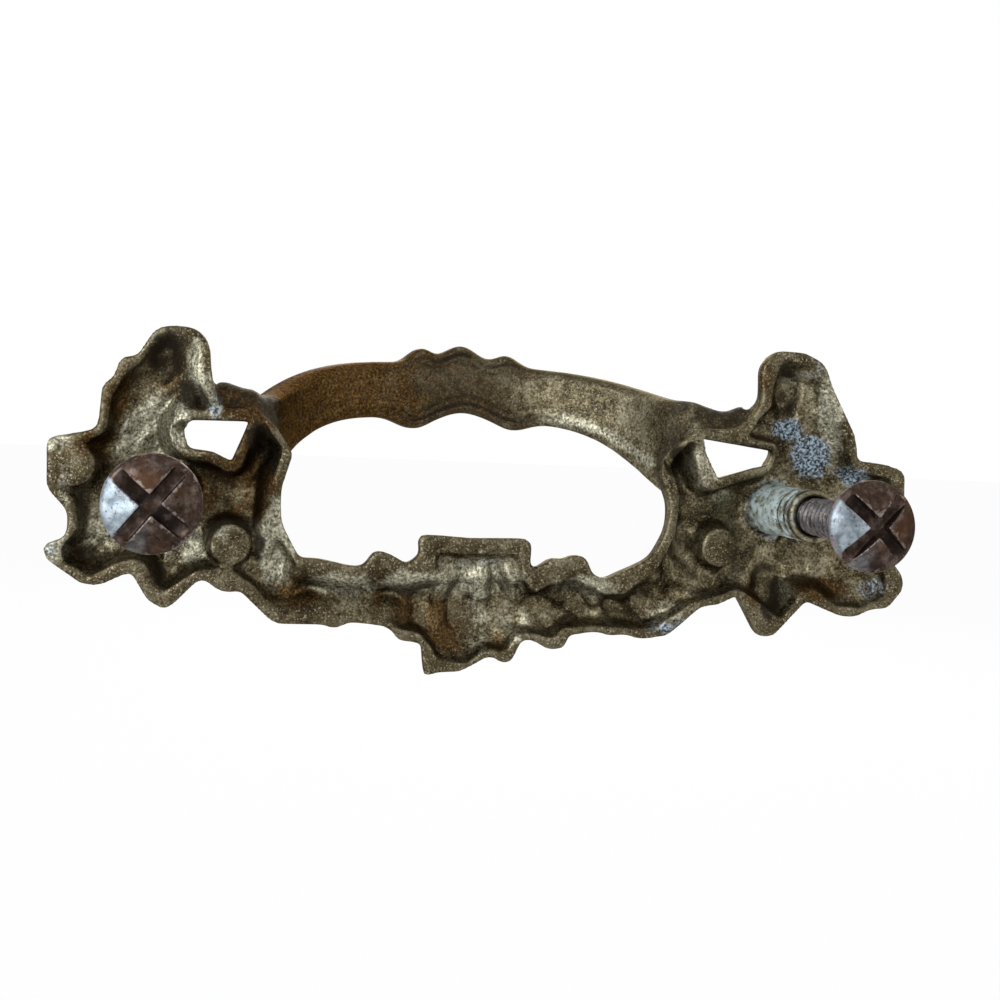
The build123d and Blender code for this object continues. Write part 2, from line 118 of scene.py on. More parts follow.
# Pale patches: partly pale metal, partly painted highlight on walls and ridges turned to the lamp
PALE_AND_HIGHLIGHT_PATCHES = [
    (-39.6, 10.9, 1.8, 6.0, 0.8), (-24.7, 5.0, 2.0, 3.4, 0.7), (36.1, 6.8, 3.4, 3.2, 1.6),
    (32.6, 13.8, 0.9, 2.8, 0.8), (31.4, 11.2, 0.9, 1.8, 0.8), (30.3, 9.2, 1.0, 1.5, 0.9),
    (37.9, 4.5, 2.8, 2.2, 1.2), (8.5, -9.0, 3.0, 1.4, 0.9), (1.0, -13.5, 2.0, 3.0, 0.7),
    (23.1, -5.1, 1.9, 4.6, 1.6), (16.1, -9.3, 4.2, 1.2, 0.9), (0.9, -8.3, 5.4, 2.6, 0.8),
    (-11.3, -9.1, 3.6, 1.6, 0.8), (41.5, -4.4, 2.6, 2.2, 0.7), (32.5, -5.5, 2.6, 2.4, 0.8),
    (46.4, -6.4, 1.8, 1.6, 1.5), (46.6, 5.2, 1.4, 1.4, 0.7), (-3.2, -13.2, 1.8, 2.4, 0.6),
    (-19.9, -11.8, 3.4, 1.6, 0.6), (45.3, 0.8, 0.8, 3.0, 0.5), (38.5, 17.0, 2.5, 1.2, 0.5),
    (-34.5, -9.1, 1.2, 1.8, 0.5), (38.5, -3.0, 2.0, 1.8, 0.5), (28.6, -3.8, 1.6, 1.0, 0.6),
    (-27.0, 1.1, 1.2, 1.2, 0.5),
]
BLUE_STAINS = [
    (-37.3, 6.5, 2.4, 2.6, 1.0), (-34.3, 9.4, 2.0, 1.4, 1.0), (46.6, -6.2, 1.3, 1.1, 0.3),
    (-42.5, 4.3, 2.4, 1.2, 0.8), (-45.4, -8.5, 2.2, 1.4, 0.4), (30.2, 9.4, 0.8, 1.8, 0.5),
    (-21.5, -13.3, 3.2, 1.0, 0.5), (0.0, -6.6, 3.4, 0.8, 0.3), (-38.1, 16.3, 1.8, 1.4, 0.3),
]
# Painted shade: dark patches in the deep pockets, beside walls that cast shadow and under the windows'
# frames
PAINTED_SHADE_PATCHES = [
    (-33.1, -10.0, 1.2, 2.6, 1.2), (-22.1, -4.2, 0.9, 2.0, 0.9), (-21.3, 5.4, 1.0, 1.8, 1.0),
    (-34.0, 13.9, 1.3, 3.4, 1.3), (25.7, 6.1, 1.2, 1.8, 1.0), (42.5, -6.7, 2.0, 1.0, 0.9),
    (35.4, -8.5, 0.9, 2.0, 0.8), (25.0, -5.4, 0.7, 2.4, 0.8), (43.3, -1.4, 0.8, 3.0, 0.6),
    (30.7, 2.0, 2.6, 0.6, 0.6), (35.3, 14.6, 1.9, 2.6, 0.9), (33.2, 10.6, 1.2, 1.6, 0.8),
    (-15.9, -11.7, 1.8, 0.9, 0.8), (-28.5, -5.4, 0.8, 2.0, 0.6), (41.5, 2.6, 1.6, 1.6, 0.5),
    (35.9, 13.4, 2.0, 2.2, 0.5), (-25.3, -9.4, 2.4, 0.8, 0.5), (37.3, 2.3, 1.0, 1.0, 0.4),
    (-32.5, -7.8, 1.4, 1.0, 0.9), (28.1, 0.3, 2.6, 1.8, 0.5), (-8.6, -12.4, 1.4, 0.8, 0.7),
]
# Share of the patches that the plate's front keeps, and of the darkening on its outer sides
FRONT_SHARE, SIDE_DARKENING = 0.2, 0.55

# Screws
SHANK_RADIUS, SHANK_END, THREAD_PITCH, THREAD_DEPTH, THREAD_SLOPE = 2.085, -3.0, 0.794, 0.42, 0.7
HEAD_RADIUS, HEAD_SEAT, HEAD_TOP, HEAD_EDGE, PLAIN_NECK = 4.6, 16.2, 18.0, 0.5, 1.2
SLOT_WIDTH, SLOT_LENGTH, SLOT_FLOOR = 1.3, 8.0, 0.35
SCREW_X = 34.925
SLOT_ANGLES = {"left_screw": 51.0, "right_screw": 46.0}
# Painted reflection on each head's lit sector, painted sheen on the shank, slot shade kept in the lit arm
SHEEN_LEVELS = {"left_screw": 0.92, "right_screw": 0.74}
SHANK_SHEEN, LIT_SLOT_SHADE = 0.16, 0.45

# Colours along the grain of each skin and stain: place on the grain, then red, green and blue
BRASS_SKIN = [(0.40, (0.022, 0.015, 0.007)), (0.5, (0.095, 0.076, 0.040)), (0.62, (0.26, 0.235, 0.16))]
GOLDEN = [(0.34, (0.022, 0.010, 0.003)), (0.54, (0.072, 0.034, 0.006)), (0.74, (0.16, 0.085, 0.020))]
# Silver also colours the pale patches, partly painted highlight, and the handle's painted sheen
SILVER = [(0.34, (0.12, 0.112, 0.080)), (0.52, (0.34, 0.325, 0.24)), (0.70, (0.66, 0.64, 0.50))]
FROSTED = [(0.40, (0.020, 0.028, 0.045)), (0.50, (0.15, 0.20, 0.25)), (0.62, (0.42, 0.53, 0.63))]
CHALK = [(0.36, (0.24, 0.245, 0.18)), (0.5, (0.48, 0.57, 0.55)), (0.62, (0.66, 0.78, 0.80))]
SCREW_SKIN = [(0.34, (0.022, 0.013, 0.009)), (0.52, (0.052, 0.034, 0.026)), (0.7, (0.12, 0.092, 0.080))]
# Bluish steel of the painted reflection and sheen on the screws
SHEEN_STEEL = [(0.34, (0.15, 0.185, 0.215)), (0.5, (0.30, 0.355, 0.40)), (0.66, (0.44, 0.50, 0.55))]

# Single colours that are laid over them by a share
DARK_ARM, DARK_RIM = (0.036, 0.025, 0.013), (0.046, 0.034, 0.017)
# The near black is laid on the brass as dirt and painted shade in recesses, and painted shade in pockets
UMBER, BRASS_DIRT_AND_SHADE = (0.026, 0.017, 0.008), (0.013, 0.009, 0.005)
WORN_BRASS, BRASS_SPECK, BRASS_PIT = (0.30, 0.27, 0.18), (0.50, 0.45, 0.32), (0.016, 0.011, 0.006)
# The screws' near black is laid as dirt and painted shade in recesses, and painted shade in the slots
RUST, SCREW_DIRT_AND_SHADE = (0.085, 0.040, 0.016), (0.010, 0.006, 0.005)
WORN_STEEL, STEEL_PIT = (0.36, 0.30, 0.27), (0.012, 0.009, 0.010)

# Studio: the floor's height and its share of plain white, and the world's level where it lights
FLOOR_HEIGHT, FLOOR_HALF_SIZE, FLOOR_GLOW, WORLD_LEVEL = -60.0, 2000.0, 0.96, 0.35
# Lamps: name, place, size, radiance and colour
LAMPS = [
    ("window_light", (210, 215, 80), 280, 3.0, (0.95, 0.98, 1.0)),
    ("fill_light", (-220, 170, 60), 200, 0.6, (1.0, 0.96, 0.9)),
    ("front_light", (-80, -240, 150), 240, 3.5, (1.0, 1.0, 1.0)),
]


def smooth_max(a, b, k):
    """The larger of two fields with a fillet of about k where they meet."""
    h = np.clip(0.5 + 0.5 * (a - b) / k, 0.0, 1.0)
    return b + (a - b) * h + k * h * (1 - h)


def smooth_min(a, b, k):
    """The smaller of two fields with a fillet of about k where they meet."""
    return -smooth_max(-a, -b, k)


def bell(value, centre, width, power=2):
    """Bell curve: 1 at the centre, and e to the minus the power of the distance in widths."""
    return np.exp(-((value - centre) / width) ** power)


def rise(value, start, length):
    """0 up to the start, 1 from a length beyond it, and straight between."""
    return np.clip((value - start) / length, 0, 1)


def noise_2d(u, v, size, seed):
    """Value noise between -1 and 1: random heights on a lattice of that size, eased between."""
    heights = np.random.default_rng(seed).uniform(-1, 1, (64, 64)).astype(np.float32)
    a, b = u / size + 1000, v / size + 1000
    i, j = np.floor(a).astype(np.int32), np.floor(b).astype(np.int32)
    s, t = a - i, b - j
    s, t = s * s * (3 - 2 * s), t * t * (3 - 2 * t)
    i, j = i % 64, j % 64
    k, m = (i + 1) % 64, (j + 1) % 64
    low = heights[i, j] * (1 - s) + heights[k, j] * s
    high = heights[i, m] * (1 - s) + heights[k, m] * s
    return low * (1 - t) + high * t


def plane_loops(node, height):
    """Closed loops of x, z corners, in mm, that bound a CAD node's flat faces at y = height.

    The faces' triangles are found, their corners merged, and each side that only one triangle has
    is followed to the next, so a loop turns one way round metal and the other way round a hole.
    """
    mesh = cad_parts[node].data
    mesh.calc_loop_triangles()
    points = np.empty(3 * len(mesh.vertices), np.float32)
    mesh.vertices.foreach_get("co", points)
    corners = np.empty(3 * len(mesh.loop_triangles), np.int32)
    mesh.loop_triangles.foreach_get("vertices", corners)
    triangles = points.reshape(-1, 3)[corners.reshape(-1, 3)] / MM
    flat = triangles[(np.abs(triangles[:, :, 1] - height) < 0.004).all(axis=1)][:, :, [0, 2]]
    places, ids = np.unique(np.round(flat.reshape(-1, 2), 2), axis=0, return_inverse=True)
    ids = ids.reshape(-1, 3)
    sides = np.concatenate([ids[:, [0, 1]], ids[:, [1, 2]], ids[:, [2, 0]]])
    sides = sides[sides[:, 0] != sides[:, 1]]
    known = {tuple(side) for side in sides.tolist()}
    following = {}
    for start, end in known:
        if (end, start) not in known:
            following.setdefault(start, []).append(end)
    loops = []
    while following:
        start = next(iter(following))
        loop, here = [], start
        while here in following:
            loop.append(here)
            ahead = following[here].pop()
            if not following[here]:
                del following[here]
            here = ahead
        if len(loop) > 5:
            loops.append(places[loop])
    return loops


def loop_area(loop):
    """Signed area of a closed loop of x, z corners."""
    x, z = loop[:, 0], loop[:, 1]
    return 0.5 * float(np.sum(x * np.roll(z, -1) - z * np.roll(x, -1)))


def loop_distance(loop, x, z):
    """Distance to a closed loop, less than 0 inside: nearest side, and a crossing count for the sign."""
    nearest = np.full(np.broadcast(x, z).shape, 1e9, np.float32)
    inside = np.zeros(nearest.shape, bool)
    for (x0, z0), (x1, z1) in zip(loop, np.roll(loop, -1, axis=0)):
        dx, dz = x1 - x0, z1 - z0
        along = np.clip(((x - x0) * dx + (z - z0) * dz) / (dx * dx + dz * dz + 1e-12), 0, 1)
        np.minimum(nearest, (x - x0 - along * dx) ** 2 + (z - z0 - along * dz) ** 2, out=nearest)
        if z0 != z1:
            crosses = ((z0 > z) != (z1 > z)) & (x < x0 + (z - z0) * dx / dz)
            inside ^= crosses
    return np.where(inside, -1, 1) * np.sqrt(nearest)


def grid(low, high, step):
    """Sparse x, y and z coordinates of a regular grid, shaped so that they broadcast."""
    axes = [np.arange(a, b + step, step, dtype=np.float32) for a, b in zip(low, high)]
    return axes[0][:, None, None], axes[1][None, :, None], axes[2][None, None, :]


def sample(volume, points, low, step):
    """Value of a volume at points, eased linearly between its eight nearest grid places."""
    p = np.clip((points - low) / step, 0, np.array(volume.shape) - 1.001)
    i = p.astype(np.int32)
    t = p - i
    value = 0
    for a in (0, 1):
        for b in (0, 1):
            for c in (0, 1):
                part = volume[i[:, 0] + a, i[:, 1] + b, i[:, 2] + c]
                share = (t[:, 0] if a else 1 - t[:, 0]) * (t[:, 1] if b else 1 - t[:, 1])
                value = value + part * share * (t[:, 2] if c else 1 - t[:, 2])
    return value


def cell_points(field, corner, low, step):
    """One point in each of the cells: the mean of where the surface cuts the cell's edges."""
    total = np.zeros((len(corner), 3))
    cuts = np.zeros((len(corner), 1))
    for axis in range(3):
        ahead = np.eye(3, dtype=int)[axis]
        others = [k for k in range(3) if k != axis]
        for a in (0, 1):
            for b in (0, 1):
                start = corner.copy()
                start[:, others[0]] += a
                start[:, others[1]] += b
                end = start + ahead
                f0, f1 = field[tuple(start.T)], field[tuple(end.T)]
                cut = (f0 < 0) != (f1 < 0)
                t = np.where(cut, f0 / np.where(cut, f0 - f1, 1), 0)[:, None]
                total += (start + t * ahead) * cut[:, None]
                cuts += cut[:, None]
    return low + step * total / cuts


def surface_net(field, low, step):
    """Mesh of a field's zero surface: points and four-sided faces.

    Each grid cell that the surface passes through gets one point, and each grid edge that it cuts
    gets the face that joins the four cells round it, turned so that it faces out of the metal.
    The points are then moved along the field's gradient onto the surface.
    """
    inside = field < 0
    cells = np.array(field.shape) - 1
    count = np.zeros(cells, np.int8)
    for a in (0, 1):
        for b in (0, 1):
            for c in (0, 1):
                count += inside[a:a + cells[0], b:b + cells[1], c:c + cells[2]]
    mixed = (count > 0) & (count < 8)
    number = np.full(cells, -1, np.int32)
    number[mixed] = np.arange(np.count_nonzero(mixed), dtype=np.int32)
    faces = []
    for axis in range(3):
        others = [k for k in range(3) if k != axis]
        lower = [slice(None)] * 3
        upper = [slice(None)] * 3
        lower[axis], upper[axis] = slice(None, -1), slice(1, None)
        change = inside[tuple(lower)].astype(np.int8) - inside[tuple(upper)]
        edge = np.argwhere(change != 0)
        keep = (edge[:, others] > 0).all(axis=1) & (edge[:, others] < cells[others]).all(axis=1)
        edge = edge[keep]
        outgoing = change[tuple(edge.T)] > 0
        ring = []
        for a, b in ((1, 1), (0, 1), (0, 0), (1, 0)):
            cell = edge.copy()
            cell[:, others[0]] -= a
            cell[:, others[1]] -= b
            ring.append(number[tuple(cell.T)])
        ring = np.stack(ring, axis=1)
        if axis == 1:
            outgoing = ~outgoing
        faces.append(np.where(outgoing[:, None], ring, ring[:, ::-1]))
    points = cell_points(field, np.argwhere(mixed), low, step)
    slopes = np.gradient(field, step)
    for _ in range(2):
        value = sample(field, points, low, step)
        slope = np.stack([sample(part, points, low, step) for part in slopes], axis=1)
        size = np.maximum((slope ** 2).sum(axis=1), 0.2)
        move = np.clip(value / size, -0.3 * step, 0.3 * step)
        points = points - move[:, None] * slope
    return points, np.concatenate(faces)


def padded(volume, axis, before, after):
    """A volume with its end layers repeated along one axis."""
    widths = [(before, after) if k == axis else (0, 0) for k in range(3)]
    return np.pad(volume, widths, mode="edge")


def blurred(volume, radius):
    """A volume averaged over a cube of that many grid places each way, by running sums."""
    width = 2 * radius + 1
    for axis in range(3):
        sums = np.cumsum(padded(volume, axis, radius + 1, radius), axis=axis, dtype=np.float32)
        count = volume.shape[axis]
        upper = np.take(sums, range(width, width + count), axis)
        volume = (upper - np.take(sums, range(count), axis)) / width
    return volume


def softened(distance, radius):
    """A flat map of distances, averaged twice over its neighbours, which rounds its corners."""
    flat = distance[:, None, :].astype(np.float32)
    for _ in range(2):
        for axis in (0, 2):
            wider = padded(flat, axis, radius, radius)
            count = flat.shape[axis]
            parts = [np.take(wider, range(k, k + count), axis) for k in range(2 * radius + 1)]
            flat = sum(parts) / len(parts)
    return flat[:, 0, :]


def paint(mesh, label, values):
    """Store one value for each point of a mesh, for its material to read."""
    layer = mesh.attributes.new(label, "FLOAT", "POINT")
    layer.data.foreach_set("value", np.asarray(values, np.float32))


def solid_piece(name, field, low, step, replaced):
    """Turn a field into a finished piece with how filled its surroundings are, near and far."""
    points, faces = surface_net(field, low, step)
    mesh = bpy.data.meshes.new(name)
    mesh.from_pydata((points * MM).astype(np.float32).tolist(), [], faces.tolist())
    mesh.polygons.foreach_set("use_smooth", np.ones(len(mesh.polygons), bool))
    filled = (field < 0).astype(np.float32)
    for label, radius in (("near_fill", NEAR_REACH), ("far_fill", FAR_REACH)):
        share = sample(blurred(filled, max(1, round(radius / step))), points, low, step)
        paint(mesh, label, share)
    piece = bpy.data.objects.new(name, mesh)
    bpy.context.scene.collection.objects.link(piece)
    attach(piece, "root")
    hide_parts(replaced)
    return piece, points.T


def patches(x, z, places):
    """Sum of soft oval patches: each fades as e to the minus fourth power of its oval distance."""
    return sum(
        strength * np.exp(-(((x - cx) / rx) ** 2 + ((z - cz) / rz) ** 2) ** 2)
        for cx, cz, rx, rz, strength in places
    )


def front_depth(x, z):
    """Depth of the plate's front: domes before screws and roots, a swollen band, fanned flutes."""
    depth = EDGE_DEPTH + patches(x, z, DEEP_POCKETS) * POCKET_BULGE
    for side in (1, -1):
        root = ARCH_CENTRE + side * ARCH_HALF_SPAN
        depth = depth + LOBE_DEPTH * np.exp(-((x - side * SCREW_X) ** 2 + z ** 2) / LOBE_RADIUS ** 2)
        from_root = (x - root) ** 2 + (z - ROOT_HEIGHT) ** 2
        depth = depth + ROOT_SWELL * np.exp(-from_root / ROOT_RADIUS ** 2)
    band = np.exp(-(x / BAND_REACH) ** 4 - ((z - BAND_HEIGHT) / BAND_WIDTH) ** 2)
    fan = FAN_RADIUS * np.arctan2(x, FAN_HEIGHT - z)
    return depth + BAND_DEPTH * band + FLUTE_DEPTH * np.cos(2 * math.pi * fan / FLUTE_PITCH)


def leaves(x, places):
    """Rounded leaves along an edge of the handle: bell curves at their places."""
    return sum(height * bell(x, centre, width) for centre, height, width in places)


def arch_edges(x):
    """Top and bottom height of the handle at x: a plain bar, flared roots and leaves."""
    share = np.minimum(np.abs(x - ARCH_CENTRE) / ARCH_HALF_SPAN, 1)
    drop = np.where(x > ARCH_CENTRE, LEFT_ROOT_DROP, RIGHT_ROOT_DROP)
    top = ARCH_TOP - drop * share ** 4 + leaves(x, TOP_LEAVES)
    bottom = ARCH_BOTTOM - ROOT_FLARE * share ** 5 + leaves(x, BOTTOM_LEAVES)
    return top, bottom


def root_back(x, y, z):
    """Sloping back of the handle's roots: below the rim, falling inwards and towards the top."""
    crest = ARCH_HALF_SPAN + np.sign(x) * ARCH_CENTRE + SHOULDER_CREST
    inward = np.clip(crest - np.abs(x), 0, 8)
    upward = np.clip(z - UPPER_FALL_HEIGHT, 0, 9)
    return y + SHOULDER_DROP + ROOT_FALL * inward + UPPER_FALL * upward


def arch_field(x, y, z):
    """Distance to the handle: a rounded bar whose middle line is half an ellipse.

    A point's place across the bar is its height over the middle of the edges, and its place
    through the bar is its distance from the ellipse, taken from the ellipse's own equation.
    The bar's inner face is a little hollow between two raised edges, with cast veins.
    """
    drop = y + ARCH_ROOT
    span = x - ARCH_CENTRE
    ratio = np.sqrt((span / ARCH_HALF_SPAN) ** 2 + (drop / ARCH_RISE) ** 2) + 1e-6
    slope = np.sqrt((span / ARCH_HALF_SPAN ** 2) ** 2 + (drop / ARCH_RISE ** 2) ** 2) / ratio + 1e-6
    through = (ratio - 1) / slope
    reach = np.clip(span / ratio, -ARCH_HALF_SPAN, ARCH_HALF_SPAN)
    on_arch = reach + ARCH_CENTRE
    top, bottom = arch_edges(on_arch)
    thick = ARCH_THICKNESS + (ROOT_THICKNESS - ARCH_THICKNESS) * (reach / ARCH_HALF_SPAN) ** 2
    corner = ARCH_ROUNDING * thick
    edge = np.minimum(top - z, z - bottom)
    crest = bell(on_arch, 0, CREST_REACH, 4)
    crease = sum(depth * bell(edge, place, width) for place, width, depth in CREASES)
    hollow = INNER_HOLLOW * rise(edge, 1.0, 0.8)
    veins = 0.05 * noise_2d(on_arch + 0.6 * z, 2.2 * z, 1.9, 21) + 0.04 * noise_2d(on_arch, z, 0.8, 22)
    deepened = PLAIN_CREASE + (1 - PLAIN_CREASE) * crest
    carve = (crease * deepened + hollow + veins) * (through < 0)
    across = np.abs(z - (top + bottom) / 2) - (top - bottom) / 2 + corner
    deep = np.abs(through) + carve - thick / 2 + corner
    outside = np.hypot(np.maximum(across, 0), np.maximum(deep, 0))
    bar = outside + np.minimum(np.maximum(across, deep), 0) - corner
    return smooth_max(bar, root_back(x, y, z), 2.0)


def floor_height(x, z, wall_distance):
    """Height of the hollow's floor: the front's form less its wall, with hammered ripples.

    Along the band the floor lies nearer the back at its top edge, and has slanting ribs.
    """
    ridges = RIDGE_HEIGHT * (1 - 2 * np.abs(noise_2d(x + 0.4 * z, z, 2.4, 14)))
    ripple = RIPPLE_HEIGHT * noise_2d(x + 0.4 * z, z, 2.8, 11) + GRIT_HEIGHT * noise_2d(x, z, 1.1, 12)
    ripple = ripple + ridges
    band = np.exp(-((z + 10.5) / 4.0) ** 4 - (x / BAND_REACH) ** 6)
    slant = x - 0.6 * np.clip(z + 11, -4, 4) * np.clip(-x / 3, 0, 1)
    phase = 1.9 - rise(x, -2, 4) + 0.9 * noise_2d(x, z, 4.0, 13)
    ribs = RIB_HEIGHT * np.sin(RIB_RATE * slant + phase)
    lift = BAND_LIFT * np.clip((z + 10.6) / 2.0, -0.6, 1.0) + TOP_LIFT * bell(z, -6.8, 2.2)
    wall = FLOOR_WALL - THINNER_WALL * bell(wall_distance, 1.8, 1.6)
    deeper = POCKET_THINNING * patches(x, z, DEEP_POCKETS)
    return -(front_depth(x, z) - wall) + ripple + (ribs + lift) * band - deeper


def drafted(distance, x, depth, near, far):
    """A window's distance map at a depth, stretched so that its near side stays in place."""
    wider = 1 + depth * math.tan(math.radians(WINDOW_DRAFT)) / abs(far - near)
    place = near + (x - near) / wider
    step = (x[-1] - x[0]) / (len(x) - 1)
    index = np.clip((place - x[0]) / step, 0, len(x) - 1.001)
    low = index.astype(np.int32)
    share = (index - low)[:, None]
    return distance[low] * (1 - share) + distance[low + 1] * share


def flat_loops():
    """The loops at the rim plane, the largest last, with each one's turn against the largest's."""
    loops = sorted(plane_loops("pull_casting", 0.0), key=lambda loop: abs(loop_area(loop)))
    turn = math.copysign(1, loop_area(loops[-1]))
    return loops, [turn * loop_area(loop) for loop in loops]


def land_distance(signed, areas):
    """Distance to the nearest of some loops, less than 0 on the flat metal between them."""
    nearest = np.minimum.reduce([np.abs(part) for part in signed])
    turns = sum(np.where(part < 0, math.copysign(1, area), 0) for part, area in zip(signed, areas))
    return np.where(turns > 0, -nearest, nearest)


def shoulder_outline(x, z):
    """Distance to the outlines of the webs at the handle's roots, a little below the rim."""
    parts = [
        loop_distance(loop, x, z) for loop in plane_loops("pull_casting", -SHOULDER_DROP)
        if abs(loop_area(loop)) > 4
    ]
    return softened(np.minimum.reduce(parts), 2)[:, None, :]


def web_field(x, y, z, shoulders):
    """Webs at the roots: their outline, between the sloping back and the webs' front."""
    webs = smooth_max(shoulders, root_back(x, y, z), 1.8)
    return smooth_max(webs, -(y + SHOULDER_FRONT), 1.0)


def with_posts(field, x, y, z):
    """The casting with its two ringed screw posts, and a bore in each."""
    for centre in (SCREW_X, -SCREW_X):
        radius = np.hypot(x - centre, z)
        rings = 0.18 * bell(y, LOWER_RING, RING_WIDTH) + 0.15 * bell(y, UPPER_RING, RING_WIDTH)
        rings = rings + 0.06 * noise_2d(y * 2 + 0 * z, np.arctan2(z, x - centre) * 3, 1.6, 31)
        post = smooth_max(radius - POST_RADIUS + rings, y - POST_HEIGHT, POST_EDGE)
        post = np.maximum(post, -(y - POST_ROOT))
        field = smooth_min(field, post, POST_FOOT)
        field = smooth_max(field, -np.maximum(radius - BORE_RADIUS, BORE_END - y), BORE_EDGE)
    return field


def cut_window(field, x, y, loop, signed, beside, lean, floor):
    """Cut one window layer by layer: it widens downwards, but leaves a wall to the hollow."""
    ends = sorted(loop[:, 0], key=abs)
    frame_land = LEFT_FRAME_LAND if ends[0] > 0 else RIGHT_FRAME_LAND
    for j, height in enumerate(y[0, :, 0]):
        if height > -WINDOW_DEPTH:
            depth = min(max(-float(height) - frame_land, 0.0), WINDOW_DEPTH)
            hole = drafted(signed, x[:, 0, 0], depth, ends[0], ends[-1])
            hole = hole - depth * math.tan(math.radians(WINDOW_TAPER))
            wall = beside + lean * max(-float(height), 0.0)
            wall = smooth_max(wall, floor - float(height), 0.6)
            hole = smooth_max(hole, LEAST_WALL - 0.1 - wall, 0.15)
            field[:, j, :] = smooth_max(field[:, j, :], -hole, WINDOW_EDGE)


def casting_field(x, y, z):
    """The casting: plate with webs and handle, less its hollow, plus posts, less the windows."""
    x2, z2 = x[:, 0, :], z[:, 0, :]
    loops, areas = flat_loops()
    signed = [loop_distance(loop, x2, z2) for loop in loops]
    windows = [i for i, area in enumerate(areas) if SMALLEST_WINDOW < -area < LARGEST_WINDOW]
    others = [i for i in range(len(areas)) if i not in windows]
    land = softened(land_distance(signed, areas), 1)[:, None, :]
    beside = -land_distance([signed[i] for i in others], [areas[i] for i in others])
    outline = softened(signed[-1], 1)[:, None, :]
    near_window = np.minimum.reduce([signed[i] for i in windows])[:, None, :]
    shoulders = shoulder_outline(x2, z2)

    wobble = 0.07 * noise_2d(x2, z2, 1.7, 5)[:, None, :]
    front = -(y + front_depth(x2, z2)[:, None, :])
    frame_part = rise(FRAME_WIDTH + 1.0 - near_window, 0, 0.8) * rise(FRAME_TOP - z, 0, 1.2)
    body = smooth_max(outline + 0.10 * np.maximum(-y - 0.5, 0) + wobble * 0.5, front, FRONT_FILLET)
    frame_part = frame_part * (1 + patches(x2, z2, LOW_FRAMES)[:, None, :])
    dips = FRAME_DROP * frame_part + patches(x2, z2, RIM_DIPS)[:, None, :]
    shell = smooth_max(body, y + np.abs(wobble) + dips, RIM_FILLET)
    field = smooth_min(shell, web_field(x, y, z, shoulders), WEB_FILLET)
    field = smooth_min(field, arch_field(x, y, z), ARCH_FILLET)

    floor = floor_height(x2, z2, land[:, 0, :])[:, None, :]
    lean = WALL_LEAN + patches(x2, z2, LEANING_WALLS)[:, None, :]
    side = -land + lean * np.maximum(-y, 0) + wobble
    hollow = smooth_max(side, floor - y, FLOOR_FILLET)
    hollow = smooth_max(hollow, body + LEAST_WALL, 0.2)
    field = smooth_max(field, -hollow, HOLLOW_EDGE)

    field = with_posts(field, x, y, z)
    for i in windows:
        cut_window(field, x, y, loops[i], signed[i], beside, lean[:, 0, :], floor[:, 0, :])
    return field


def thread_drop(turn, y):
    """How far the thread lies below its crest: a rounded V once each pitch along the screw."""
    phase = (y / THREAD_PITCH - turn / (2 * math.pi)) % 1.0
    return THREAD_DEPTH * np.abs(2 * phase - 1)


def crown_radius():
    """Radius of the ball that the head's dome is part of."""
    height = HEAD_TOP - HEAD_SEAT - HEAD_EDGE
    return (HEAD_RADIUS ** 2 + height ** 2) / (2 * height)


def screw_field(x, y, z, slot_angle):
    """A screw on its own axis: threaded shank, domed head with a thin edge, and crossed slots."""
    radius = np.hypot(x, z)
    drop = thread_drop(np.arctan2(z, x), y)
    thread = (radius - SHANK_RADIUS + drop) * THREAD_SLOPE
    plain = smooth_max(radius - SHANK_RADIUS + 0.1, HEAD_SEAT - PLAIN_NECK - y, 0.3)
    shank = np.maximum(smooth_min(thread, plain, 0.1), np.maximum(SHANK_END - y, y - HEAD_SEAT - 0.5))
    crown = crown_radius()
    dome = np.sqrt(radius ** 2 + (y - HEAD_TOP + crown) ** 2) - crown
    head = smooth_max(smooth_max(dome, radius - HEAD_RADIUS, 0.35), HEAD_SEAT - y, 0.2)
    for turn in (slot_angle, slot_angle + 90):
        c, s = math.cos(math.radians(turn)), math.sin(math.radians(turn))
        along, across = np.abs(x * c - z * s), np.abs(x * s + z * c)
        floor = HEAD_SEAT + SLOT_FLOOR + 0.08 * (along / 2) ** 2
        slot = smooth_max(across - SLOT_WIDTH / 2, along - SLOT_LENGTH / 2, 0.25)
        slot = smooth_max(slot, floor - y, 0.2)
        head = smooth_max(head, -slot, 0.12)
    return smooth_min(head, shank, 0.25)


def seen_at(x, y, z):
    """Where the photograph's camera sees a point against the rim's plane."""
    share = CAMERA_PLACE[1] / (CAMERA_PLACE[1] - y)
    return CAMERA_PLACE[0] + (x - CAMERA_PLACE[0]) * share, CAMERA_PLACE[2] + (z - CAMERA_PLACE[2]) * share


def paint_powder(mesh, x, y, z):
    """Chalky powder round the right post, left out along its two ring grooves and worn off near its end.
    """
    around = rise(1.4 - np.abs(np.hypot(x + SCREW_X, z) - POST_RADIUS), 0, 1)
    grooves = 0.95 * bell(y, LOWER_RING, 0.22) + 0.8 * bell(y, UPPER_RING, 0.2)
    powder = around * rise(y, -5.0, 2.0) * np.maximum(rise(5.2 - y, 0, 0.6), 0.2) * (1 - grooves)
    powder = powder * (0.8 + 0.4 * noise_2d(y, z, 2.0, 51))
    paint(mesh, "powder", np.clip(powder, 0, 1))


